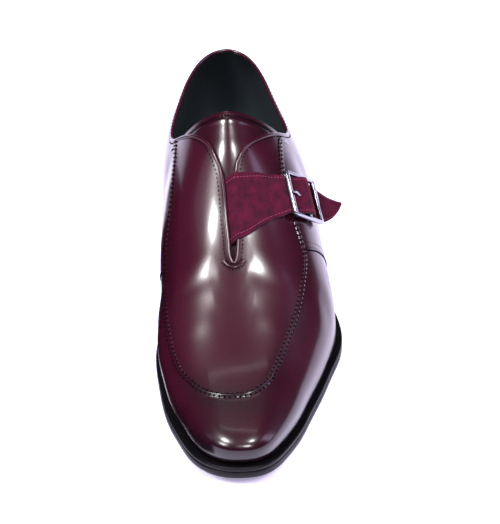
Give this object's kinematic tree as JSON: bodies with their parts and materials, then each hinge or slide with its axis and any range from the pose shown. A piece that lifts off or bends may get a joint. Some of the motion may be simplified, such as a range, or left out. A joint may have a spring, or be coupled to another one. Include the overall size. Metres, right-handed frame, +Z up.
{
  "type": "monk strap shoe",
  "caption": "Low leather shoe with a raised apron seam and a suede strap that crosses the slit instep to a metal buckle on the outer side; left foot.",
  "frame": {"origin": "on the floor, under the middle of the shoe's outer box", "axes": "+Z up, toe toward -Y, heel toward +Y, outer side of the left foot toward +X"},
  "size_m": [0.1142, 0.3022, 0.1153],
  "materials": {
    "buckle_metal": "bright silver-coloured metal",
    "lining": "matt dark green-black lining leather",
    "polished_leather": "polished burgundy calf leather, darker at the edges",
    "sole": "black dyed and waxed sole edge",
    "suede": "short-napped burgundy suede"
  },
  "bodies": {
    "root": {"outsole": "sole", "welt": "sole", "heel": "sole", "insole": "lining", "upper": "polished_leather", "tongue": "polished_leather", "strap": "suede", "buckle_frame": "buckle_metal", "buckle_prong": "buckle_metal", "buckle_tab": "polished_leather"}
  },
  "joints": []
}
